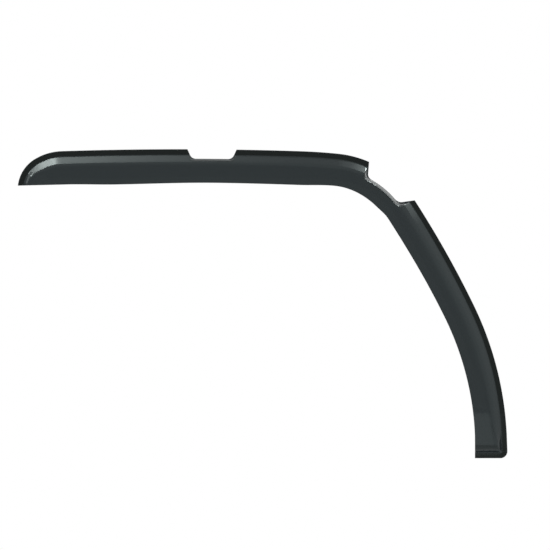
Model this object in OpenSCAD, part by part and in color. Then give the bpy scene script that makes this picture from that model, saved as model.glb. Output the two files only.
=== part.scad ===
// Stick-on rain deflector for the side window of a truck door: one thin moulded sheet of smoked acrylic.
// A flat flange runs round the outer edge and carries the adhesive foam tape. Inside it the sheet steps
// forward over a sloping shoulder to a broad face that stands clear of the glass, with a free inner edge.
// Two notches cut the flange away for the fittings of the door, and there the shoulder becomes a steep wall.
//
// Frame: +X to the front of the vehicle, +Z up, the outer face looks along -Y. The adhesive side of the tape
// lies in the plane Y = 0. The origin is on the centre line of the top tape.

/* [Sheet] */
// Thickness of the moulded sheet
sheet_t = 3; // [2:0.25:4]
// Height that the face stands in front of the flange
rise = 14; // [10:0.5:18]
// The same at the tip of the nose
rise_tip = 10.5; // [8:0.5:14]
// Bulge of the face along the top
crown_top = 0.8; // [0:0.1:2]
// Bulge of the face on the leg
crown_leg = 2.2; // [0:0.1:4]
// Length of the leg, up from its lower corner, on which the face is flat
foot_flat = 80; // [40:5:120]
// Softness of the crest between shoulder and face along the top
crest_top = 4.6; // [2:0.1:6]
// Softness of the crest on the leg
crest_leg = 6; // [3:0.5:8]

/* [Flange and shoulder] */
// Width of the flange along the top
flange_top = 12; // [11:0.25:14]
// Width of the flange on the leg and the foot
flange_leg = 10.75; // [10.75:0.25:13]
// Width of the sloping shoulder, seen from the front
shoulder_run = 15; // [12:0.5:18]
// Its width at the tip of the nose
shoulder_tip = 8.5; // [7:0.5:15]
// Its width round the foot
shoulder_foot = 9; // [7:0.5:12]

/* [Outer edge] */
// Radius of the nose at the rear end
nose_r = 71.5; // [60:0.5:80]
// Turn of the edge round the nose, in degrees
nose_turn = 52.6; // [48:0.1:58]
// Radius where the nose runs into the top edge
brow_r = 110; // [95:1:130]
// Turn of the edge there, in degrees
brow_turn = 29.2; // [26:0.1:32]
// Radius of the long top edge
top_r = 7300; // [5500:100:9000]
// Length of the top edge behind the origin
top_rear = 403; // [360:1:450]
// Length of the top edge ahead of the origin
top_front = 75.5; // [70:1:110]
// Fall of the top edge to the front at the origin, in degrees
top_lean = 1.3; // [0.5:0.1:2]
// Radius of the run into the front corner
run_r = 1100; // [900:10:1400]
// Turn of the edge there, in degrees
run_turn = 3.9; // [3:0.1:5]
// Radius of the front corner
corner_r = 208.5; // [200:0.5:230]
// Turn of the edge round the front corner, in degrees
corner_turn = 51.4; // [50:0.1:54]
// Radius of the upper leg
leg_r = 1990; // [1500:10:2500]
// Turn of the edge along the upper leg, in degrees
leg_turn = 6.9; // [5:0.1:9]
// Radius of the lower leg
shin_r = 663; // [600:1:760]
// Turn of the edge along the lower leg, in degrees
shin_turn = 23.8; // [22:0.1:26]
// Straight end of the lower leg
shin_end = 26; // [15:0.5:40]
// Radius of the corner at the foot
heel_r = 14; // [10:0.5:20]

/* [Width across the sheet] */
// Behind the nose
width_nose = 67; // [62:0.5:74]
// Over the rear part of the window
width_rear = 69.5; // [64:0.5:76]
// Below the notch of the top edge
width_notch = 67; // [62:0.5:74]
// Ahead of the origin
width_front = 67.7; // [62:0.1:74]
// At both ends of the front corner
width_corner = 64.7; // [60:0.1:72]
// In the bend of the front corner
width_bend = 67.3; // [62:0.1:74]
// On the leg
width_leg = 63; // [58:0.5:70]
// At the foot
width_foot = 65; // [60:0.5:72]

/* [Notch of the top edge] */
// Place of its middle, measured along the edge from the origin
top_notch_at = -101.9; // [-130:0.1:-80]
// Half its width at the edge
top_notch_mouth = 49; // [44:0.5:54]
// Half the width of its floor
top_notch_floor = 40.5; // [36:0.5:43]
// Its depth
top_notch_depth = 19; // [15:0.5:24]

/* [Notch of the front corner] */
// Place of its middle, measured along the edge from the start of the corner
corner_notch_at = 125; // [118:0.5:128]
// Half its width at the edge
corner_notch_mouth = 60.5; // [54:0.5:62]
// Rear half of its floor
corner_floor_rear = 41.5; // [34:0.5:44]
// Front half of its floor
corner_floor_front = 37.5; // [32:0.5:42]
// Its depth
corner_notch_depth = 30; // [24:0.5:32]

/* [Walls of the notches] */
// Lip left between the cut edge and a side wall
lip_w = 2; // [1:0.1:3]
// The same along the floor
floor_lip = 0.6; // [0.5:0.1:2]
// Steepness of the side walls, in degrees
wall_angle = 72; // [66:1:76]
// Steepness of the walls along the floor, in degrees
floor_angle = 74; // [66:1:76]
// Softness of the floor corners
notch_fillet = 8; // [5:0.5:10]

/* [Tape] */
// Thickness of the foam tape
tape_t = 1.1; // [0.8:0.1:2]
// Width of the foam tape
tape_w = 10; // [6:0.5:10]
// Free length between a tape end and the end of its flange
tape_gap = 1; // [0.5:0.5:5]

/* [Hidden] */

// Rounding of the two long rims of the sheet
rim = 0.5;
// Smallest radius of the lines inside the corner at the foot, and how far up the leg they are drawn in
heel_min = 3;
heel_fade = 110;
// Lengths of the outer edge over which the form grows from the tip, the shoulder narrows to the foot and the
// bulge of the face ends above the flat foot
tip_level = 20;
tip_grow = 50;
foot_narrow = 60;
crown_fade = 120;
// Bends of the free edge: its clear start beside the crest, and the length and bow of its curve near the foot
edge_clear = 14;
turn_run = 105;
turn_bow = 2;
// Softness of the ridge between a notch wall and the shoulder, and of the foot of the shoulder
ridge_soft = 2.6;
foot_soft = 1;
// How much sharper the ridge and the crest are on the back, and how much softer the foot is there
back_ridge = 0.5;
back_crest = 0.45;
back_foot = 0.6;
// Front of the flange, in front of the door
base = tape_t + sheet_t;
// Face that is kept level with the crest before it runs on to the free edge
crest_margin = 7;
wall_margin = 12;
// Place of the widest part behind the top notch, as a share of the rear top edge, and of the bend's width
rear_at = 0.27;
bend_at = 0.75;
// Extra width where the leg turns straight
shin_swell = 0.4;
// Depth of cut over which the points across the sheet move to the places of a wall, and their widest spacing
wall_from = 9;
stretch_most = 2.2;
// Halvings that find the cut edge
halvings = 24;
// Free lengths between the stations of a notch and the next ones
notch_after = 10;
leg_after = 30;

// Chain of arcs: a piece is [radius, turn to the right] or, where straight, [0, length]
function dir(a) = [cos(a), sin(a)];
function arc_turn(length, r) = length / r * 180 / PI;
function arc_length(piece) = piece[0] == 0 ? piece[1] : piece[0] * piece[1] * PI / 180;
function on_piece(start, piece, t) =
    piece[0] == 0
        ? [start[0] + t * piece[1] * dir(start[1]), start[1]]
        : let (centre = start[0] + piece[0] * dir(start[1] - 90), a = start[1] - t * piece[1])
          [centre + piece[0] * dir(a + 90), a];
function starts_of(start, pieces, i = 0) =
    i == len(pieces) ? [start] : concat([start], starts_of(on_piece(start, pieces[i], 1), pieces, i + 1));
function length_to(pieces, n, i = 0) = i == n ? 0 : arc_length(pieces[i]) + length_to(pieces, n, i + 1);

// Outer edge from the tip of the nose to the inner corner of the foot, first from a tip at zero
tip_heading = nose_turn + brow_turn + arc_turn(top_rear, top_r) - top_lean;
leg_heading = tip_heading - nose_turn - brow_turn - arc_turn(top_rear + top_front, top_r)
    - run_turn - corner_turn - leg_turn - shin_turn;
UPPER = [
    [nose_r, nose_turn],
    [brow_r, brow_turn],
    [top_r, arc_turn(top_rear, top_r)],
    [top_r, arc_turn(top_front, top_r)],
    [run_r, run_turn],
    [corner_r, corner_turn],
    [leg_r, leg_turn],
    [shin_r, shin_turn],
    [0, shin_end],
    [heel_r, 180 + leg_heading]
];
upper_starts = starts_of([[0, 0], tip_heading], UPPER);
at_datum = upper_starts[3];
datum = at_datum[0] + flange_top / 2 * dir(at_datum[1] - 90);
at_heel = upper_starts[9];
foot_x = (at_heel[0] + width_foot * dir(at_heel[1] - 90))[0];
PIECES = concat(UPPER, [[0, upper_starts[10][0][0] - foot_x]]);
STARTS = starts_of([-datum, tip_heading], PIECES);

s_nose = length_to(PIECES, 1);
s_top = length_to(PIECES, 2);
s_datum = length_to(PIECES, 3);
s_run = length_to(PIECES, 4);
s_corner = length_to(PIECES, 5);
s_leg = length_to(PIECES, 6);
s_shin = length_to(PIECES, 7);
s_straight = length_to(PIECES, 8);
s_heel = length_to(PIECES, 9);
s_foot = length_to(PIECES, 10);
s_end = length_to(PIECES, 11);

// Place and heading at the distance s along the outer edge
function at(s, i = 0, passed = 0) =
    let (here = arc_length(PIECES[i]))
    i < len(PIECES) - 1 && s > passed + here
        ? at(s, i + 1, passed + here)
        : on_piece(STARTS[i], PIECES[i], (s - passed) / here);

// Soft minimum and maximum, which round the meeting of two surfaces over about k
function soft_max(a, b, k) = max(a, b) + (k > 0 ? pow(max(k - abs(a - b), 0), 2) / (4 * k) : 0);
function soft_min(a, b, k) = -soft_max(-a, -b, k);
function ease(t) = let (c = min(max(t, 0), 1)) c * c * (3 - 2 * c);
function mix(a, b, t) = a + (b - a) * t;

// Notch: [middle along the edge, curvature of the edge, rear mouth, rear floor, front mouth, front floor, depth]
TOP_NOTCH = [s_datum + top_notch_at, 1 / top_r, top_notch_mouth, top_notch_floor,
    top_notch_mouth, top_notch_floor, top_notch_depth];
CORNER_NOTCH = [s_corner + corner_notch_at, 1 / corner_r, corner_notch_mouth, corner_floor_rear,
    corner_notch_mouth, corner_floor_front, corner_notch_depth];

// Distance from a sloping side of a notch, positive in the sheet
function side_gap(x, d, mouth, floor_half, depth) =
    ((mouth - floor_half) * d + (x - mouth) * depth) / norm([depth, mouth - floor_half]);
function sides_gap(n, s, d) =
    let (x = (s - n[0]) * (1 - d * n[1]))
    max(side_gap(-x, d, n[2], n[3], n[6]), side_gap(x, d, n[4], n[5], n[6]));
function notch_gap(n, s, d) = soft_max(sides_gap(n, s, d), d - n[6], notch_fillet);
function cut_gap(s, d) = min(notch_gap(TOP_NOTCH, s, d), notch_gap(CORNER_NOTCH, s, d));

// Height of the walls of a notch, moved back by the thickness t
function wall_rise(gap, angle, t) = gap * tan(angle) - t / cos(angle);
function notch_wall(n, s, d, t) =
    soft_max(wall_rise(sides_gap(n, s, d) - lip_w, wall_angle, t),
        wall_rise(d - n[6] - floor_lip, floor_angle, t), notch_fillet * tan(wall_angle));

// Distance of the cut edge from the outer edge, found by halving
function halve(s, low, high, n) =
    let (middle = (low + high) / 2)
    n == 0 ? middle : cut_gap(s, middle) < 0 ? halve(s, middle, high, n - 1) : halve(s, low, middle, n - 1);
function cut_depth(s) = cut_gap(s, 0) >= 0 ? 0 : halve(s, 0, corner_notch_depth + top_notch_depth, halvings);

// What changes from the top to the leg
function on_leg_share(s) = ease((s - s_corner) / (s_leg - s_corner));
function flange(s) = mix(flange_top, flange_leg, on_leg_share(s));
function crest_soft(s) = mix(crest_top, crest_leg, on_leg_share(s));
function crown(s) =
    mix(crown_top, crown_leg, on_leg_share(s)) * ease((s_heel - foot_flat - s) / crown_fade);
function from_tip(s) = ease((s - tip_level) / tip_grow);
function rise_at(s) = mix(rise_tip, rise, from_tip(s));
function shoulder(s) =
    s < s_top
        ? mix(shoulder_tip, shoulder_run, from_tip(s))
        : mix(shoulder_run, shoulder_foot, ease(1 + (s - s_heel) / foot_narrow));
WIDTHS = [
    [s_top, width_nose],
    [s_top + top_rear * rear_at, width_rear],
    [s_datum + top_notch_at, width_notch],
    [s_run, width_front],
    [s_corner, width_corner],
    [mix(s_corner, s_leg, bend_at), width_bend],
    [s_leg, width_corner],
    [s_shin, width_leg],
    [s_straight, width_leg + shin_swell],
    [s_heel, width_foot]
];
function width(s, i = 0) =
    i < len(WIDTHS) - 2 && s > WIDTHS[i + 1][0]
        ? width(s, i + 1)
        : mix(WIDTHS[i][1], WIDTHS[i + 1][1], ease((s - WIDTHS[i][0]) / (WIDTHS[i + 1][0] - WIDTHS[i][0])));

// Free inner edge. Round the nose it is a straight line from the tip, and near the foot a curve to the corner
function plain_inner(s) = let (p = at(s)) p[0] + width(s) * dir(p[1] - 90);
tip = at(0)[0];
nose_edge = plain_inner(s_top) - tip;
nose_edge_angle = atan2(nose_edge[1], nose_edge[0]);
nose_start = (flange_top + shoulder_run + crest_margin + edge_clear) / norm(nose_edge);
s_turn = s_heel - turn_run;
foot_corner = at(s_end)[0];
turn_point = plain_inner(s_turn);
turn_reach = (turn_point[1] - foot_corner[1]) / 2;
turn_control = [foot_corner[0] + turn_bow, foot_corner[1] + turn_reach];
foot_stop = (flange_leg + shoulder_run + crest_margin + edge_clear) / (2 * turn_reach);
function foot_curve(u) = (1 - u) * (1 - u) * turn_point + 2 * u * (1 - u) * turn_control + u * u * foot_corner;
function inner(s) =
    s < s_top ? tip + mix(nose_start, 1, s / s_top) * nose_edge
    : s > s_turn ? foot_curve((1 - foot_stop) * (s - s_turn) / (s_end - s_turn))
    : plain_inner(s);

// Direction across the sheet. At the tip it follows the free edge
function across(s) =
    let (a = at(s)[1] - 90)
    dir(a + (s < s_nose ? (nose_edge_angle - tip_heading + 90) * pow(1 - s / s_nose, 2) : 0));

// Inside the corner at the foot the lines keep a small radius and are drawn in along both edges
leg_in = dir(leg_heading - 90);
foot_in = [0, 1];
function heel_pull(s) =
    s <= s_heel ? foot_in * pow(max(1 - (s_heel - s) / heel_fade, 0), 2)
    : s < s_foot ? leg_in + foot_in - across(s)
    : leg_in * (s_end - s) / (s_end - s_foot);
function inset(s, d) = at(s)[0] + d * across(s) + max(0, heel_min - heel_r + d) * heel_pull(s);

// Height of the sheet in front of the flange face: the shoulder and the notch wall meet the crowned face.
// The back is the same form with each surface moved by the sheet thickness
function height(s, d, share, t) =
    let (
        steep = rise_at(s) / shoulder(s),
        slope = (d - flange(s)) * steep - t * norm([1, steep]),
        wall = min(notch_wall(TOP_NOTCH, s, d, t), notch_wall(CORNER_NOTCH, s, d, t)),
        face = rise_at(s) + crown(s) * sin(180 * share) - t,
        back = t / sheet_t,
        raised = soft_min(soft_min(slope, wall, ridge_soft * (1 - back_ridge * back)), face,
            crest_soft(s) * (1 - back_crest * back))
    )
    soft_max(raised, -t, foot_soft * (1 + back_foot * back));

// Points across the sheet: on the open edge, in a notch measured from the wall, and then over the face
RIM_STEPS = [0, rim * 0.35, rim];
function plain_steps(s) =
    let (f = flange(s), r = shoulder(s))
    concat(RIM_STEPS, [f * 0.5, f - 1.7, f + 0.2, f + 2, f + 0.4 * r, f + 0.68 * r, f + 0.84 * r, f + r,
        f + r + 3, f + r + crest_margin]);
WALL_STEPS = concat(RIM_STEPS, [1.1, 1.8, 2.5, 3.3, 4.1, 4.9, 5.8, 6.9, 8.6, wall_margin]);
FACE_STEPS = [0.25, 0.5, 0.75];
edge_steps = len(WALL_STEPS);
front_count = edge_steps + len(FACE_STEPS) + 3;
function cut_slope(s) = (cut_depth(s + 3) - cut_depth(s - 3)) / 6;
function steps(s) =
    let (
        cut = cut_depth(s),
        plain = plain_steps(s),
        reach = plain[edge_steps - 1],
        stretch = min(norm([1, cut_slope(s)]), stretch_most),
        share = ease(cut / wall_from)
    )
    [for (k = [0 : edge_steps - 1])
        mix(cut + plain[k] * (reach - cut) / reach, cut + WALL_STEPS[k] * stretch, share)];

// One section: front points from the outer edge to the free edge, then the back points on the way back
function rim_drop(gap) = gap >= rim ? 0 : rim - sqrt(max(rim * rim - pow(rim - gap, 2), 0));
function section(s) =
    let (
        d = steps(s),
        last = edge_steps - 1,
        from = inset(s, d[last]),
        to = inner(s),
        span = norm(to - from),
        crest = flange(s) + shoulder(s),
        full = d[last] + span,
        places = concat(
            [for (k = [0 : last]) [inset(s, d[k]), d[k]]],
            [for (f = FACE_STEPS) [mix(from, to, f), d[last] + f * span]],
            [for (k = [2 : -1 : 0]) [mix(from, to, 1 - RIM_STEPS[k] / span), full - RIM_STEPS[k]]]
        ),
        count = len(places),
        share = [for (p = places) max((p[1] - crest) / (full - crest), 0)],
        front = [for (k = [0 : count - 1])
            let (drop = rim_drop(min(places[k][1] - d[0], full - places[k][1])))
            [places[k][0][0], -base - height(s, places[k][1], share[k], 0) + drop, places[k][0][1]]],
        back_keys = [for (k = [count - 1 : -1 : 0]) if (k == 0 || k == count - 1 || (k > 2 && k < count - 3)) k],
        back = [for (k = back_keys)
            [places[k][0][0], -base - height(s, places[k][1], share[k], sheet_t), places[k][0][1]]]
    )
    concat(front, back);

// Stations along the outer edge, close together at the sides of the notches
function spread(from, to, n) = [for (i = [0 : n - 1]) from + (to - from) * i / n];
OUTSIDE = [12, 8.5, 6, 4, 2.5, 1.2];
INSIDE = [1.2, 2.6, 4.2, 6.2, 9];
SIDE_STEPS = 7;
function notch_stations(n, floor_n) =
    let (
        shrink = 1 - n[1] * n[6],
        rear = n[3] / shrink,
        front = n[5] / shrink,
        last = INSIDE[len(INSIDE) - 1]
    )
    concat(
        [for (o = OUTSIDE) n[0] - n[2] - o],
        spread(n[0] - n[2], n[0] - rear, SIDE_STEPS),
        [n[0] - rear],
        [for (o = INSIDE) n[0] - rear + o],
        [for (i = [1 : floor_n]) n[0] + mix(last - rear, front - last, i / (floor_n + 1))],
        [for (i = [len(INSIDE) - 1 : -1 : 0]) n[0] + front - INSIDE[i]],
        spread(n[0] + front, n[0] + n[4], SIDE_STEPS),
        [n[0] + n[4]],
        [for (i = [len(OUTSIDE) - 1 : -1 : 0]) n[0] + n[4] + OUTSIDE[i]]
    );
notch_margin = OUTSIDE[0];
STATIONS = concat(
    spread(0, s_nose, 11),
    spread(s_nose, s_top, 6),
    spread(s_top, TOP_NOTCH[0] - TOP_NOTCH[2] - notch_margin, 7),
    notch_stations(TOP_NOTCH, 3),
    spread(TOP_NOTCH[0] + TOP_NOTCH[4] + notch_margin + notch_after, s_corner, 8),
    spread(s_corner, CORNER_NOTCH[0] - CORNER_NOTCH[2] - notch_margin, 4),
    notch_stations(CORNER_NOTCH, 4),
    spread(s_leg + leg_after, s_shin, 5),
    spread(s_shin, s_straight, 10),
    spread(s_straight, s_heel, 2),
    spread(s_heel, s_foot, 7),
    spread(s_foot, s_end, 4),
    [s_end]
);
SECTIONS = [for (s = STATIONS) section(s)];
ring = len(SECTIONS[0]);
row_count = len(SECTIONS);

// The back point that closes each front point at the two ends
function partner(k) =
    let (back_count = ring - front_count, b = k < 3 ? 0 : k > front_count - 4 ? back_count - 1 : k - 2)
    front_count + back_count - 1 - b;
function end_faces(row, flip) =
    [for (k = [0 : front_count - 2])
        for (tri = partner(k) == partner(k + 1)
            ? [[k, k + 1, partner(k)]]
            : [[k, k + 1, partner(k)], [k + 1, partner(k + 1), partner(k)]])
        flip ? [row + tri[2], row + tri[1], row + tri[0]] : [row + tri[0], row + tri[1], row + tri[2]]];

module deflector_shell() {
    points = [for (one = SECTIONS) each one];
    sides = [for (i = [0 : row_count - 2], k = [0 : ring - 1])
        let (a = i * ring + k, b = i * ring + (k + 1) % ring)
        each [[a, b + ring, b], [a, a + ring, b + ring]]];
    ends = concat(end_faces(0, false), end_faces((row_count - 1) * ring, true));
    color([0.2, 0.22, 0.22]) polyhedron(points, concat(sides, ends), 4);
}

// Ends of the flange beside a notch, as distances along the outer edge from the middle of the notch, at depth d
function notch_end(n, d, mouth, floor_half) = (mouth - (mouth - floor_half) * d / n[6]) / (1 - d * n[1]);
function rear_end(n, d) = n[0] - notch_end(n, d, n[2], n[3]) - tape_gap;
function front_end(n, d) = n[0] + notch_end(n, d, n[4], n[5]) + tape_gap;

// Flat strip of foam tape along the middle of the flange. Its two long sides run between the given places
module tape(outer_ends, inner_ends, n) {
    outer_side = [for (i = [0 : n]) let (s = mix(outer_ends[0], outer_ends[1], i / n))
        inset(s, (flange(s) - tape_w) / 2)];
    inner_side = [for (i = [n : -1 : 0]) let (s = mix(inner_ends[0], inner_ends[1], i / n))
        inset(s, (flange(s) + tape_w) / 2)];
    color([0.05, 0.05, 0.05])
        rotate([90, 0, 0])
            linear_extrude(tape_t) polygon(concat(outer_side, inner_side));
}

tape_outer = (flange_top - tape_w) / 2;
tape_inner = tape_outer + tape_w;

module tape_rear() {
    tape([tape_gap, rear_end(TOP_NOTCH, tape_outer)], [tape_gap, rear_end(TOP_NOTCH, tape_inner)], 40);
}

module tape_top() {
    tape([front_end(TOP_NOTCH, tape_outer), rear_end(CORNER_NOTCH, tape_outer)],
        [front_end(TOP_NOTCH, tape_inner), rear_end(CORNER_NOTCH, tape_inner)], 30);
}

module tape_leg() {
    tape([front_end(CORNER_NOTCH, tape_outer), s_heel], [front_end(CORNER_NOTCH, tape_inner), s_heel], 36);
}

module tape_foot() {
    tape([s_heel + tape_gap, s_end - tape_gap], [s_heel + tape_gap, s_end - tape_gap], 24);
}

deflector_shell();
tape_rear();
tape_top();
tape_leg();
tape_foot();
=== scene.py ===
import math
from collections import namedtuple

import bpy
import numpy as np
from mathutils import Matrix, Vector


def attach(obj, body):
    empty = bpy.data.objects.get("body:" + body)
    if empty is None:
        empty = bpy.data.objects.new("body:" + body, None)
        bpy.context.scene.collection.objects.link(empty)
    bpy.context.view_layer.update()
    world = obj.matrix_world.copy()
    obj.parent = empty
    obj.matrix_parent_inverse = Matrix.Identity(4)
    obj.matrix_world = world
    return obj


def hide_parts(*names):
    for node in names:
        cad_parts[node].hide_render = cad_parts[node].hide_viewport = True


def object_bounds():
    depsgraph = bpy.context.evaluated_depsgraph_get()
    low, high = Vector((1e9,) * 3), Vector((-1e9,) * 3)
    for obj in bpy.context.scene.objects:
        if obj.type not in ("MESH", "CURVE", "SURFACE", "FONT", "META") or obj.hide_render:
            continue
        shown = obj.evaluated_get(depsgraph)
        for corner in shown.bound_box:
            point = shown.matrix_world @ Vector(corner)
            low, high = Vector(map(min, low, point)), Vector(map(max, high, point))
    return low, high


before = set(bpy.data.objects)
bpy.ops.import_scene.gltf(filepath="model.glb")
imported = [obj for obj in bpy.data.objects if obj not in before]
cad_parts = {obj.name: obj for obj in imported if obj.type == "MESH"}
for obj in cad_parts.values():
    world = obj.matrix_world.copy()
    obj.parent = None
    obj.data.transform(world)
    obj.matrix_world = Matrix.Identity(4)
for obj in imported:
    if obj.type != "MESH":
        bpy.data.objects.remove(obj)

cad_box = [list(corner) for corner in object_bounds()]

# Camera
# Looks straight at the outer face. The photograph shows no perspective, so the view is orthographic. The
# picture is PICTURE_PX wide with PIXEL_MM to a pixel, and the origin of the part lies at ORIGIN_PX in it.
MM = 0.001
PIXEL_MM = 2.0
PICTURE_PX = 550
ORIGIN_PX = (262.9, 153.14)
CAMERA_AWAY = 4.0
SEEN_DEPTH = 50
camera_data = bpy.data.cameras.new("camera")
camera_data.type = "ORTHO"
camera_data.ortho_scale = PICTURE_PX * PIXEL_MM * MM
camera_data.clip_end = SEEN_DEPTH
camera = bpy.data.objects.new("camera", camera_data)
camera_x = (PICTURE_PX / 2 - ORIGIN_PX[0]) * PIXEL_MM * MM
camera_z = (ORIGIN_PX[1] - PICTURE_PX / 2) * PIXEL_MM * MM
camera.location = (camera_x, -CAMERA_AWAY, camera_z)
camera.rotation_euler = (math.radians(90), 0, 0)
bpy.context.scene.collection.objects.link(camera)
bpy.context.scene.camera = camera
bpy.context.scene.view_settings.view_transform = "Standard"


# Studio
# White all round for the camera and through the tinted sheet. What the gloss reflects is a dim room, paler
# overhead and to the front of the vehicle, with soft boxes: a long one overhead, one beyond the nose, three
# beyond the front corner, a small bright one high above that corner and a low one in front of the foot.
def fade_node(nodes, places, tones, interpolation="LINEAR"):
    """Map Range node that goes from the first of tones to the second between the two places."""
    fade = nodes.new("ShaderNodeMapRange")
    fade.interpolation_type = interpolation
    fade.inputs["From Min"].default_value, fade.inputs["From Max"].default_value = places
    fade.inputs["To Min"].default_value, fade.inputs["To Max"].default_value = tones
    return fade


world = bpy.data.worlds.new("studio")
bpy.context.scene.world = world
world.use_nodes = True
nodes = world.node_tree.nodes
nodes.clear()
output = nodes.new("ShaderNodeOutputWorld")
shown = nodes.new("ShaderNodeBackground")
shown.inputs["Color"].default_value = (1, 1, 1, 1)
shown.inputs["Strength"].default_value = 1
room = nodes.new("ShaderNodeBackground")
room.inputs["Color"].default_value = (1, 1, 1, 1)
path = nodes.new("ShaderNodeLightPath")
seen = nodes.new("ShaderNodeMath")
seen.operation = "MAXIMUM"
choose = nodes.new("ShaderNodeMixShader")
direction = nodes.new("ShaderNodeTexCoord")
split = nodes.new("ShaderNodeSeparateXYZ")
walls = fade_node(nodes, places=(0, 1), tones=(0.44, 0.7), interpolation="SMOOTHSTEP")
ceiling = fade_node(nodes, places=(0.1, 0.8), tones=(0, 0.2), interpolation="SMOOTHSTEP")
total = nodes.new("ShaderNodeMath")
link = world.node_tree.links.new
link(direction.outputs["Generated"], split.inputs["Vector"])
link(split.outputs["X"], walls.inputs["Value"])
link(split.outputs["Z"], ceiling.inputs["Value"])
link(walls.outputs["Result"], total.inputs[0])
link(ceiling.outputs["Result"], total.inputs[1])
link(total.outputs["Value"], room.inputs["Strength"])
link(path.outputs["Is Camera Ray"], seen.inputs[0])
link(path.outputs["Is Transmission Ray"], seen.inputs[1])
link(seen.outputs["Value"], choose.inputs["Fac"])
link(room.outputs["Background"], choose.inputs[1])
link(shown.outputs["Background"], choose.inputs[2])
link(choose.outputs["Shader"], output.inputs["Surface"])


def fade_lamp(data, fade):
    """Makes a lamp uneven along its width: fade lists (share of the width, share of the brightness) pairs."""
    data.use_nodes = True
    lamp_nodes = data.node_tree.nodes
    across_lamp = lamp_nodes.new("ShaderNodeNewGeometry")
    split_lamp = lamp_nodes.new("ShaderNodeSeparateXYZ")
    ramp = lamp_nodes.new("ShaderNodeValToRGB")
    steps = ramp.color_ramp.elements
    for k, (share, tone) in enumerate(fade):
        step = steps[k] if k < 2 else steps.new(share)
        step.position = share
        step.color = (tone, tone, tone, 1)
    lamp_link = data.node_tree.links.new
    lamp_link(across_lamp.outputs["Parametric"], split_lamp.inputs["Vector"])
    lamp_link(split_lamp.outputs["X"], ramp.inputs["Fac"])
    lamp_link(ramp.outputs["Color"], lamp_nodes["Emission"].inputs["Strength"])


def soft_box(name, place, target, width, height, brightness, fade=(), gloss_only=False):
    """Adds a rectangular light at place that faces target, whose surface is brightness times as bright as
    white. One that is gloss_only shows in reflections and lights nothing else."""
    data = bpy.data.lights.new(name, "AREA")
    data.shape = "RECTANGLE"
    data.size = width
    data.size_y = height
    data.energy = math.pi * width * height * brightness
    if fade:
        fade_lamp(data, fade)
    lamp = bpy.data.objects.new(name, data)
    back = Vector(place) - Vector(target)
    level = abs(back.y) >= abs(back.z) + abs(back.x)
    side = Vector((0, 0, 1) if level else (0, 1, 0)).cross(back).normalized()
    up = back.cross(side).normalized()
    turn = Matrix((side, up, back.normalized())).transposed().to_4x4()
    lamp.matrix_world = Matrix.Translation(place) @ turn
    lamp.visible_camera = False
    lamp.visible_transmission = False
    lamp.visible_diffuse = not gloss_only
    bpy.context.scene.collection.objects.link(lamp)


soft_box(
    "box_overhead", place=(-0.7, -0.18, 0.8), target=(-0.7, -0.18, 0), width=2.1, height=0.52, brightness=9,
    fade=[(0.0, 1.3), (0.1, 0.55), (0.24, 0.24), (0.36, 0.6), (0.44, 0.86), (0.5, 0.9), (0.56, 1.0),
          (0.58, 0.58), (0.6, 0.36), (0.624, 0.28), (0.643, 0.24), (0.685, 0.155), (0.73, 0.09),
          (0.82, 0.018), (0.88, 0.0)])
soft_box(
    "box_rear", place=(-1.2, 0.25, 0.45), target=(-0.45, 0, -0.05), width=0.7, height=0.7, brightness=0.9)
soft_box(
    "box_corner", place=(0.717, 0.1, 0.69), target=(0.16, 0.1, -0.14), width=1.08, height=0.9, brightness=4,
    fade=[(0.0, 0.03), (0.16, 0.12), (0.23, 0.3), (0.35, 0.7), (0.8, 0.7), (0.9, 0.4), (1.0, 0.0)])
soft_box(
    "box_behind", place=(0.62, 1.05, 0.46), target=(0.26, 0, -0.09), width=1.05, height=0.75, brightness=0.6)
soft_box(
    "box_side", place=(1.0, 1.2, 0.0), target=(0.2, 0, -0.04), width=0.8, height=0.8, brightness=0.9)
soft_box(
    "box_spot", place=(1.172, 0.0, 1.725), target=(0.22, 0, -0.04), width=0.4, height=0.3, brightness=38,
    gloss_only=True)
soft_box(
    "box_foot", place=(0.475, -0.3, -0.562), target=(0.475, 0, -0.562), width=0.3, height=0.082,
    brightness=0.4, gloss_only=True,
    fade=[(0.0, 1.0), (0.49, 1.0), (0.508, 0.0), (0.55, 0.0), (0.568, 0.9), (1.0, 0.2)])

# Floor
# Plain pale paper that lies just under the foot of the part, which is held upright over it. In a reflection
# the paper shows an even glow in place of its lit tone, with painted light: the glow is brighter near the
# foot.
FLOOR_GAP = 0.004
FLOOR_HALF = 8
NEAR_FOOT = (0.47, -0.1)
floor_z = cad_box[0][2] - FLOOR_GAP
floor_corners = [(x * FLOOR_HALF, y * FLOOR_HALF, floor_z) for x, y in ((-1, -1), (1, -1), (1, 1), (-1, 1))]
floor_mesh = bpy.data.meshes.new("floor")
floor_mesh.from_pydata(floor_corners, [], [(0, 1, 2, 3)])
floor = bpy.data.objects.new("floor", floor_mesh)
bpy.context.scene.collection.objects.link(floor)
paper = bpy.data.materials.new("floor_paper")
paper.use_nodes = True
nodes = paper.node_tree.nodes
shader = nodes["Principled BSDF"]
shader.inputs["Base Color"].default_value = (0.86, 0.86, 0.86, 1)
shader.inputs["Roughness"].default_value = 0.9
reflected = nodes.new("ShaderNodeEmission")
place = nodes.new("ShaderNodeTexCoord")
away = nodes.new("ShaderNodeVectorMath")
away.operation = "DISTANCE"
away.inputs[1].default_value = (*NEAR_FOOT, floor_z)
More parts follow.
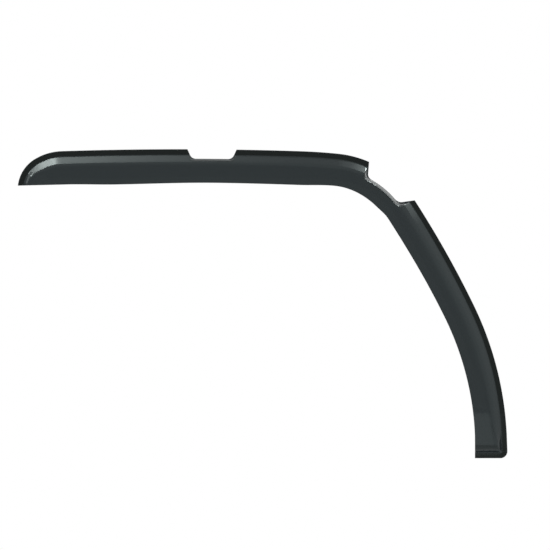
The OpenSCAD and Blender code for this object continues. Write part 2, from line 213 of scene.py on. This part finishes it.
# Painted light: the glow seen in reflections rises from 0.5 to 0.68 within 0.6 m of NEAR_FOOT, a painted pool
# of light by the foot
painted_foot_glow = fade_node(nodes, places=(0, 0.6), tones=(0.68, 0.5))
path = nodes.new("ShaderNodeLightPath")
choose = nodes.new("ShaderNodeMixShader")
link = paper.node_tree.links.new
link(place.outputs["Object"], away.inputs[0])
link(away.outputs["Value"], painted_foot_glow.inputs["Value"])
link(painted_foot_glow.outputs["Result"], reflected.inputs["Strength"])
link(path.outputs["Is Glossy Ray"], choose.inputs["Fac"])
link(shader.outputs["BSDF"], choose.inputs[1])
link(reflected.outputs["Emission"], choose.inputs[2])
link(choose.outputs["Shader"], nodes["Material Output"].inputs["Surface"])
floor_mesh.materials.append(paper)

# Deflector sheet
# One moulded sheet of smoked acrylic, of the same thickness all over. A flat flange round its outer edge is
# taped to the door, and a sloping shoulder carries the broad face clear of the glass. Sizes are millimetres,
# and shapes are worked out as seen from the front, with x to the front of the vehicle and z up.
SHEET_T = 3.0
TAPE_T = 1.1
RISE, RISE_TIP = 14.0, 10.5
FLANGE_TOP, FLANGE_LEG = 12.0, 10.75
SHOULDER_RUN, SHOULDER_TIP, SHOULDER_FOOT = 15.0, 8.5, 9.0

# Outer edge
# A chain of tangent arcs from the tip of the nose, over the top and the front corner, down the leg and round
# the foot. Each piece is (radius, turn to the right in degrees) or, where straight, (0, length). A place on
# the edge is given by s, its distance along the chain from the tip.
TOP_R, TOP_REAR, TOP_FRONT, TOP_LEAN = 7300.0, 403.0, 75.5, 1.3
CORNER_R = 208.5
HEEL_R = 14.0
WIDTH_FOOT = 65.0
outline = {
    "nose": (71.5, 52.6),
    "brow": (110.0, 29.2),
    "top_rear": (TOP_R, math.degrees(TOP_REAR / TOP_R)),
    "top_front": (TOP_R, math.degrees(TOP_FRONT / TOP_R)),
    "run": (1100.0, 3.9),
    "corner": (CORNER_R, 51.4),
    "leg": (1990.0, 6.9),
    "shin": (663.0, 23.8),
    "straight": (0.0, 26.0),
}


def unit(degrees):
    """Unit vectors at an angle from +X, of the same shape as degrees with two numbers each."""
    turned = np.radians(degrees)
    return np.stack([np.cos(turned), np.sin(turned)], -1)


def on_piece(start, heading, piece, share):
    """Points and headings at the given shares of an arc or straight. An arc's centre is a radius to the
    right of its start."""
    share = np.asarray(share, float)
    radius, amount = piece
    if radius == 0:
        return start + share[..., None] * amount * unit(heading), heading + 0 * share
    centre = start + radius * unit(heading - 90)
    headings = heading - share * amount
    return centre + radius * unit(headings + 90), headings


def chain_starts(start, heading, pieces):
    """Start point and heading of every piece, each where the last one ends, and those of the end."""
    starts = {}
    point = np.asarray(start, float)
    for name, piece in pieces.items():
        starts[name] = point, heading
        point, heading = on_piece(point, heading, piece, 1.0)
        heading = float(heading)
    starts["end"] = point, heading
    return starts


def piece_length(piece):
    """Length of an arc or straight."""
    return piece[1] if piece[0] == 0 else piece[0] * math.radians(piece[1])


# The top edge falls by TOP_LEAN where top_front starts. The chain is first laid from a tip at zero, and then
# moved so that the origin lies below that place, on the centre line of the tape.
turns = [amount for radius, amount in outline.values() if radius > 0]
turned_before_front = sum(turns[:3])
tip_heading = turned_before_front - TOP_LEAN
leg_heading = tip_heading - sum(turns)
outline["heel"] = (HEEL_R, 180 + leg_heading)
from_zero = chain_starts((0, 0), tip_heading, outline)
origin_point, origin_heading = from_zero["top_front"]
origin = origin_point + FLANGE_TOP / 2 * unit(origin_heading - 90)
heel_point, heel_heading = from_zero["heel"]
foot_x = (heel_point + WIDTH_FOOT * unit(heel_heading - 90))[0]
outline["foot"] = (0.0, from_zero["end"][0][0] - foot_x)
starts = chain_starts(-origin, tip_heading, outline)
passed = np.concatenate([[0], np.cumsum([piece_length(piece) for piece in outline.values()])])
s_brow, s_top, s_origin, s_run, s_corner, s_leg, s_shin, s_straight, s_heel, s_foot, s_end = passed[1:]


def edge(s):
    """Points and headings at the distances s along the outer edge."""
    s = np.asarray(s, float)
    point = np.zeros(s.shape + (2,))
    heading = np.zeros(s.shape)
    which = np.clip(np.searchsorted(passed, s, side="left") - 1, 0, len(outline) - 1)
    for i, (name, piece) in enumerate(outline.items()):
        here = which == i
        share = (s[here] - passed[i]) / piece_length(piece)
        point[here], heading[here] = on_piece(*starts[name], piece, share)
    return point, heading


# Notches
# In each, the flange is cut away for a fitting of the door, and a steep wall closes the sheet. A notch is a
# trapezium with soft floor corners, whose mouth and floor are measured along the edge from its middle.
Notch = namedtuple("Notch", "middle edge_r rear_mouth rear_floor front_mouth front_floor depth")
top_notch = Notch(middle=s_origin - 101.9, edge_r=TOP_R, rear_mouth=49.0, rear_floor=40.5,
                  front_mouth=49.0, front_floor=40.5, depth=19.0)
corner_notch = Notch(middle=s_corner + 125.0, edge_r=CORNER_R, rear_mouth=60.5, rear_floor=41.5,
                     front_mouth=60.5, front_floor=37.5, depth=30.0)
NOTCH_FILLET = 8.0
SIDE_LIP, FLOOR_LIP = 2.0, 0.6
SIDE_WALL, FLOOR_WALL = math.radians(72), math.radians(74)
HALVINGS = 30


def soft_max(a, b, k):
    """Larger of a and b, rounded over about k where they meet: max + (k - |a - b|)^2 / 4k."""
    return np.maximum(a, b) + np.maximum(k - np.abs(a - b), 0) ** 2 / (4 * k)


def soft_min(a, b, k):
    """Smaller of a and b, rounded the same way."""
    return -soft_max(-a, -b, k)


def ease(t):
    """Smooth step from 0 to 1: t^2 (3 - 2t)."""
    t = np.clip(t, 0, 1)
    return t * t * (3 - 2 * t)


def sides_gap(notch, s, d):
    """Distance from the nearer of the two sloping sides of a notch, positive in the sheet."""
    x = (s - notch.middle) * (1 - d / notch.edge_r)
    rear_lean = notch.rear_mouth - notch.rear_floor
    front_lean = notch.front_mouth - notch.front_floor
    rear = (rear_lean * d - (x + notch.rear_mouth) * notch.depth) / math.hypot(notch.depth, rear_lean)
    front = (front_lean * d + (x - notch.front_mouth) * notch.depth) / math.hypot(notch.depth, front_lean)
    return np.maximum(rear, front)


def notch_gap(notch, s, d):
    """Distance from the cut edge of a notch: the larger of those from its sides and its floor, rounded."""
    return soft_max(sides_gap(notch, s, d), d - notch.depth, NOTCH_FILLET)


def cut_gap(s, d):
    """Distance from the nearer notch."""
    return np.minimum(notch_gap(top_notch, s, d), notch_gap(corner_notch, s, d))


def wall_rise(gap, angle, t):
    """Height of a wall at the distance gap from its foot, moved back by the thickness t."""
    return gap * math.tan(angle) - t / math.cos(angle)


def notch_wall(notch, s, d, t):
    """Height of the walls of a notch: the larger of that at its sides and that along its floor, rounded."""
    side = wall_rise(sides_gap(notch, s, d) - SIDE_LIP, SIDE_WALL, t)
    floor_side = wall_rise(d - notch.depth - FLOOR_LIP, FLOOR_WALL, t)
    return soft_max(side, floor_side, NOTCH_FILLET * math.tan(SIDE_WALL))


def cut_depth(s):
    """Distance of the cut edge from the outer edge, found by halving."""
    low = np.zeros_like(s)
    high = np.full_like(s, top_notch.depth + corner_notch.depth)
    for _ in range(HALVINGS):
        middle = (low + high) / 2
        inside = cut_gap(s, middle) < 0
        low = np.where(inside, middle, low)
        high = np.where(inside, high, middle)
    return np.where(cut_gap(s, 0) >= 0, 0, low)


# Width of the sheet and its free inner edge
# The free edge follows the outer one at a width that changes a little: the list gives (place, width) pairs.
# At the nose it is straight from the tip, and at the foot it curves into the corner of the flange.
REAR_AT, BEND_AT = 0.27, 0.75
CREST_MARGIN, EDGE_CLEAR = 7.0, 14.0
TURN_RUN, TURN_BOW = 105.0, 2.0
widths = [
    (s_top, 67.0),
    (s_top + REAR_AT * TOP_REAR, 69.5),
    (top_notch.middle, 67.0),
    (s_run, 67.7),
    (s_corner, 64.7),
    (s_corner + BEND_AT * (s_leg - s_corner), 67.3),
    (s_leg, 64.7),
    (s_shin, 63.0),
    (s_straight, 63.4),
    (s_heel, WIDTH_FOOT),
]
width_places, width_sizes = np.array(widths).T


def width(s):
    """Width across the sheet, eased from each of the listed places to the next."""
    i = np.clip(np.searchsorted(width_places, s) - 1, 0, len(widths) - 2)
    low, high = width_places[i], width_places[i + 1]
    share = ease((s - low) / (high - low))
    return width_sizes[i] * (1 - share) + width_sizes[i + 1] * share


def plain_inner(s):
    """Free edge at the width's distance square to the outer edge."""
    point, heading = edge(s)
    return point + width(s)[..., None] * unit(heading - 90)


tip = starts["nose"][0]
nose_edge = plain_inner(np.array(s_top)) - tip
nose_edge_angle = math.degrees(math.atan2(nose_edge[1], nose_edge[0]))
nose_start = (FLANGE_TOP + SHOULDER_RUN + CREST_MARGIN + EDGE_CLEAR) / np.hypot(*nose_edge)
s_turn = s_heel - TURN_RUN
turn_point = plain_inner(np.array(s_turn))
foot_corner = starts["end"][0]
turn_reach = (turn_point[1] - foot_corner[1]) / 2
turn_control = foot_corner + [TURN_BOW, turn_reach]
foot_stop = (FLANGE_LEG + SHOULDER_RUN + CREST_MARGIN + EDGE_CLEAR) / (2 * turn_reach)


def inner(s):
    """Free edge: a line near the nose, a quadratic curve near the foot, and the plain offset between."""
    along_nose = tip + (nose_start + (1 - nose_start) * s / s_top)[..., None] * nose_edge
    u = ((1 - foot_stop) * (s - s_turn) / (s_end - s_turn))[..., None]
    along_foot = (1 - u) ** 2 * turn_point + 2 * u * (1 - u) * turn_control + u ** 2 * foot_corner
    plain = plain_inner(np.clip(s, s_top, s_turn))
    return np.where((s < s_top)[..., None], along_nose, np.where((s > s_turn)[..., None], along_foot, plain))


# Lines across the sheet
# They run square to the outer edge, but lean to the free edge at the tip of the nose. Round the foot they are
# drawn in, away from the leg and from the foot, so that what lies inside the corner keeps a small radius.
HEEL_MIN, HEEL_FADE = 3.0, 110.0
leg_in = unit(np.array(leg_heading - 90.0))
foot_in = np.array([0.0, 1.0])


def across(s):
    """Direction across the sheet: square to the edge, plus a lean that fades with the square of the share
    of the nose that is left."""
    heading = edge(s)[1] - 90
    lean = (nose_edge_angle - tip_heading + 90) * np.clip(1 - s / s_brow, 0, 1) ** 2
    return unit(heading + lean)


def inset(s, d):
    """Point at the distance d inside the outer edge. At the foot it is pulled in by as much as the radius
    that is left there, HEEL_R - d, falls short of HEEL_MIN."""
    on_leg = foot_in * (np.clip(1 - (s_heel - s) / HEEL_FADE, 0, 1) ** 2)[..., None]
    in_heel = leg_in + foot_in - across(s)
    on_foot = leg_in * ((s_end - s) / (s_end - s_foot))[..., None]
    pull = np.where((s <= s_heel)[..., None], on_leg, np.where((s < s_foot)[..., None], in_heel, on_foot))
    return edge(s)[0] + d[..., None] * across(s) + np.maximum(0, HEEL_MIN - HEEL_R + d)[..., None] * pull


# Height of the sheet in front of the flange
# The shoulder and the wall of a notch rise from the flange and meet the slightly bulged face. The back is the
# same form with each surface moved by the sheet thickness t, with sharper crests and a softer foot.
CROWN_TOP, CROWN_LEG = 0.8, 2.2
FOOT_FLAT, CROWN_FADE = 80.0, 120.0
CREST_TOP, CREST_LEG = 4.6, 6.0
RIDGE_SOFT, FOOT_SOFT = 2.6, 1.0
BACK_CREST, BACK_RIDGE, BACK_FOOT = 0.45, 0.5, 0.6
TIP_LEVEL, TIP_GROW, FOOT_NARROW = 20.0, 50.0, 60.0


def leg_share(s):
    """How far the form has changed from the top to the leg: eased over the length of the front corner."""
    return ease((s - s_corner) / (s_leg - s_corner))


def flange(s):
    """Width of the flange: a little less on the leg."""
    return FLANGE_TOP + (FLANGE_LEG - FLANGE_TOP) * leg_share(s)


def rise(s):
    """Height of the face: eased up from the tip of the nose, and level from there on."""
    return RISE_TIP + (RISE - RISE_TIP) * ease((s - TIP_LEVEL) / TIP_GROW)


def shoulder(s):
    """Width of the shoulder: eased out from the tip, level over the top and the leg, eased in to the foot."""
    from_tip = SHOULDER_TIP + (SHOULDER_RUN - SHOULDER_TIP) * ease((s - TIP_LEVEL) / TIP_GROW)
    to_foot = SHOULDER_RUN + (SHOULDER_FOOT - SHOULDER_RUN) * ease(1 + (s - s_heel) / FOOT_NARROW)
    return np.where(s < s_top, from_tip, to_foot)


def height(s, d, share, t):
    """Height of the sheet at the distance d inside the edge: the least of the shoulder's slope, the wall and
    the face, and no lower than the flange. share runs over the face from 0 to 1, and t is 0 for the front."""
    back = t / SHEET_T
    steep = rise(s) / shoulder(s)
    slope = (d - flange(s)) * steep - t * np.hypot(1, steep)
    wall = np.minimum(notch_wall(top_notch, s, d, t), notch_wall(corner_notch, s, d, t))
    crown = (CROWN_TOP + (CROWN_LEG - CROWN_TOP) * leg_share(s)) * ease((s_heel - FOOT_FLAT - s) / CROWN_FADE)
    face = rise(s) + crown * np.sin(np.pi * share) - t
    crest_soft = (CREST_TOP + (CREST_LEG - CREST_TOP) * leg_share(s)) * (1 - BACK_CREST * back)
    raised = soft_min(soft_min(slope, wall, RIDGE_SOFT * (1 - BACK_RIDGE * back)), face, crest_soft)
    return soft_max(raised, -t, FOOT_SOFT * (1 + BACK_FOOT * back))


# Stations along the edge
# They lie close together at the sides of the notches, where the walls turn, and nearly so round the foot.
SPACING, FINE_SPACING = 3.2, 0.7
SIDE_NEAR, SIDE_FADE = 10.0, 8.0
HEEL_NEAR, HEEL_NEAR_FADE, HEEL_FINE = 16.0, 10.0, 0.75
SAMPLES = 6001


def closeness(gap, near, fade):
    """1 up to the distance near, eased to 0 over the distance fade."""
    return 1 - ease((gap - near) / fade)


def stations():
    """Places s whose spacing goes from SPACING to FINE_SPACING: equal steps of the summed point density."""
    s = np.linspace(0, s_end, SAMPLES)
    near = np.zeros_like(s)
    for notch in (top_notch, corner_notch):
        shrink = 1 - notch.depth / notch.edge_r
        rear_side = (-notch.rear_mouth, -notch.rear_floor / shrink)
        front_side = (notch.front_floor / shrink, notch.front_mouth)
        for low, high in (rear_side, front_side):
            gap = np.maximum(notch.middle + low - s, s - notch.middle - high)
            near = np.maximum(near, closeness(gap, SIDE_NEAR, SIDE_FADE))
    heel_gap = np.abs(s - (s_heel + s_foot) / 2)
    near = np.maximum(near, HEEL_FINE * closeness(heel_gap, HEEL_NEAR, HEEL_NEAR_FADE))
    density = 1 / SPACING + (1 / FINE_SPACING - 1 / SPACING) * near
    count = np.concatenate([[0], np.cumsum((density[1:] + density[:-1]) / 2 * np.diff(s))])
    return np.interp(np.linspace(0, count[-1], int(count[-1]) + 1), count, s)


# Steps across the sheet
# They go from the outer or the cut edge to CREST_MARGIN beyond the crest, and on over the face to the free
# edge, close together at the rims, the foot of the shoulder, the crest and the walls. Where a cut grows
# deeper, the plain steps give way to those of a wall, so both lists have the same length.
RIM = 0.5
RIM_LINES = 6
FACE_LINES = 11
LAST_STRIP = 1.5
WALL_FROM, WALL_MARGIN = 9.0, 12.0
STRETCH_MOST = 2.2
CUT_STEP = 2.0
rim_steps = RIM * (1 - np.cos(np.linspace(0, np.pi / 2, RIM_LINES)))
flange_shares = np.linspace(0.15, 0.85, 5)
foot_steps = np.linspace(-1.4, 1.5, 7)
shoulder_shares = np.concatenate([np.linspace(0.2, 0.56, 5), np.linspace(0.62, 1.3, 13)])
wall_foot_steps = np.linspace(0.6, 3.4, 12)
wall_middle_steps = np.linspace(3.6, 5.4, 6)
wall_crest_steps = np.linspace(5.6, 9.2, 12)
wall_steps = np.concatenate([rim_steps, wall_foot_steps, wall_middle_steps, wall_crest_steps, [WALL_MARGIN]])
inner_shares = np.linspace(0, 1, FACE_LINES)[1:-1]

# Places of the grid as seen from the front, one row to a station, with the distance d of each from the edge
s = stations()
cut = cut_depth(s)[:, None]
cut_slope = (cut_depth(s + CUT_STEP) - cut_depth(s - CUT_STEP)) / (2 * CUT_STEP)
stretch = np.minimum(np.hypot(1, cut_slope), STRETCH_MOST)[:, None]
flange_w, shoulder_w = flange(s)[:, None], shoulder(s)[:, None]
plain_steps = np.concatenate([
    np.repeat(rim_steps[None], len(s), 0), flange_shares * flange_w, flange_w + foot_steps,
    flange_w + shoulder_shares * shoulder_w, flange_w + shoulder_w + CREST_MARGIN], 1)
plain_reach = plain_steps[:, -1:]
plain = cut + plain_steps * (plain_reach - cut) / plain_reach
walled = cut + wall_steps * stretch
d_edge = plain + (walled - plain) * ease(cut / WALL_FROM)
place_edge = inset(np.repeat(s[:, None], len(wall_steps), 1), d_edge)
face_start, face_end = place_edge[:, -1], inner(s)
span = np.linalg.norm(face_end - face_start, axis=1)[:, None]
face_shares = np.concatenate([inner_shares * (1 - LAST_STRIP / span), 1 - rim_steps[::-1] / span], 1)
place_face = face_start[:, None] + face_shares[..., None] * (face_end - face_start)[:, None]
places = np.concatenate([place_edge, place_face], 1)
d = np.concatenate([d_edge, d_edge[:, -1:] + face_shares * span], 1)
free_edge = d[:, -1:]
crest = flange_w + shoulder_w
over_face = np.clip((d - crest) / (free_edge - crest), 0, 1)
s_grid = np.repeat(s[:, None], d.shape[1], 1)


def rim_drop(gap):
    """How far the rounded front rims lie back at the distance gap from the edge: a quarter circle of RIM."""
    inward = RIM - np.minimum(gap, RIM)
    return RIM - np.sqrt(np.maximum(RIM ** 2 - inward ** 2, 0))


base = TAPE_T + SHEET_T
front_y = -base - height(s_grid, d, over_face, 0.0) + rim_drop(np.minimum(d - cut, free_edge - d))
back_y = -base - height(s_grid, d, over_face, SHEET_T)
front = np.stack([places[..., 0], front_y, places[..., 1]], -1)
back = np.stack([places[..., 0], back_y, places[..., 1]], -1)


def shell_mesh(name, front, back):
    """Closed mesh of two grids over the same places: each row of the front and the turned row of the back
    make a ring, quads join each ring to the next, and quads between front and back close the two ends."""
    rows, columns = front.shape[:2]
    ring = np.concatenate([front, back[:, ::-1]], 1)
    size = ring.shape[1]
    points = ring.reshape(-1, 3) * MM
    i, k = np.meshgrid(np.arange(rows - 1), np.arange(size), indexing="ij")
    a = (i * size + k).ravel()
    b = (i * size + (k + 1) % size).ravel()
    sides = np.stack([a, b, b + size, a + size], 1)
    k = np.arange(columns - 1)
    cap = np.stack([size - 1 - k, size - 2 - k, k + 1, k], 1)
    quads = np.concatenate([sides, cap, cap[:, ::-1] + (rows - 1) * size])
    mesh = bpy.data.meshes.new(name)
    mesh.from_pydata(points.tolist(), [], quads.tolist())
    mesh.polygons.foreach_set("use_smooth", np.ones(len(quads), bool))
    mesh.update()
    return mesh


# Smoked acrylic
# Tinted all through, so that about a fiftieth of the light passes the sheet. The polish is slightly uneven.
acrylic = bpy.data.materials.new("smoked_acrylic")
acrylic.use_nodes = True
nodes = acrylic.node_tree.nodes
shader = nodes["Principled BSDF"]
shader.inputs["Base Color"].default_value = (0.0164, 0.0206, 0.023, 1)
shader.inputs["IOR"].default_value = 1.49
shader.inputs["Transmission Weight"].default_value = 1.0
shader.inputs["Specular Tint"].default_value = (0.86, 1, 0.97, 1)
place = nodes.new("ShaderNodeTexCoord")
wave = nodes.new("ShaderNodeTexNoise")
wave.inputs["Scale"].default_value = 9
wave.inputs["Detail"].default_value = 3
gloss = fade_node(nodes, places=(0, 1), tones=(0.05, 0.1))
grain = nodes.new("ShaderNodeTexNoise")
grain.inputs["Scale"].default_value = 55
grain.inputs["Detail"].default_value = 2
bump = nodes.new("ShaderNodeBump")
bump.inputs["Strength"].default_value = 0.04
bump.inputs["Distance"].default_value = 0.002
link = acrylic.node_tree.links.new
link(place.outputs["Object"], wave.inputs["Vector"])
link(place.outputs["Object"], grain.inputs["Vector"])
link(wave.outputs["Fac"], gloss.inputs["Value"])
link(gloss.outputs["Result"], shader.inputs["Roughness"])
link(grain.outputs["Fac"], bump.inputs["Height"])
link(bump.outputs["Normal"], shader.inputs["Normal"])

sheet_mesh = shell_mesh("deflector_sheet", front, back)
sheet = bpy.data.objects.new("deflector_sheet", sheet_mesh)
bpy.context.scene.collection.objects.link(sheet)
sheet_mesh.materials.append(acrylic)
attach(sheet, "root")
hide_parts("deflector_shell")

# Foam tape
# Black closed-cell foam with adhesive on both sides, in four lengths along the back of the flange, which hold
# the sheet to the door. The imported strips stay, and get a finish of fine cells.
foam = bpy.data.materials.new("foam_tape")
foam.use_nodes = True
nodes = foam.node_tree.nodes
shader = nodes["Principled BSDF"]
shader.inputs["Roughness"].default_value = 0.75
place = nodes.new("ShaderNodeTexCoord")
cells = nodes.new("ShaderNodeTexVoronoi")
cells.inputs["Scale"].default_value = 900
tone = nodes.new("ShaderNodeValToRGB")
tone.color_ramp.elements[0].color = (0.006, 0.006, 0.006, 1)
tone.color_ramp.elements[1].color = (0.02, 0.02, 0.02, 1)
bump = nodes.new("ShaderNodeBump")
bump.inputs["Strength"].default_value = 0.3
bump.inputs["Distance"].default_value = 0.0003
link = foam.node_tree.links.new
link(place.outputs["Object"], cells.inputs["Vector"])
link(cells.outputs["Distance"], tone.inputs["Fac"])
link(tone.outputs["Color"], shader.inputs["Base Color"])
link(cells.outputs["Distance"], bump.inputs["Height"])
link(bump.outputs["Normal"], shader.inputs["Normal"])
for name in ("tape_rear", "tape_top", "tape_leg", "tape_foot"):
    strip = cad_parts[name]
    strip.data.materials.clear()
    strip.data.materials.append(foam)
